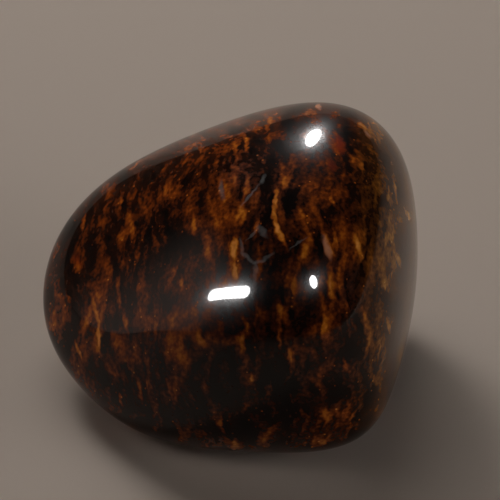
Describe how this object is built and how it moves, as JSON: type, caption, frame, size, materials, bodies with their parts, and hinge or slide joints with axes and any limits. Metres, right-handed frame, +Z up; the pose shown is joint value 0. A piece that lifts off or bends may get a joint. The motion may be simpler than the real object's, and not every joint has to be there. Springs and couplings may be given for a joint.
{
  "type": "tumbled bronzite stone",
  "caption": "Tumbled and polished bronzite stone: a chunky rounded-triangular pebble, dark brown with bronze streaks, with a steep front and a worn flat to rest on.",
  "frame": {"origin": "on the surface that the stone rests on, below the middle of its box", "axes": "+Z up, +X along the stone's length towards its blunt right end, -Y towards the steep front that the picture looks down on"},
  "size_m": [0.0254, 0.0226, 0.0185],
  "materials": {
    "polished_bronzite": "polished"
  },
  "bodies": {
    "root": {"tumbled_stone": "polished_bronzite"}
  },
  "joints": []
}
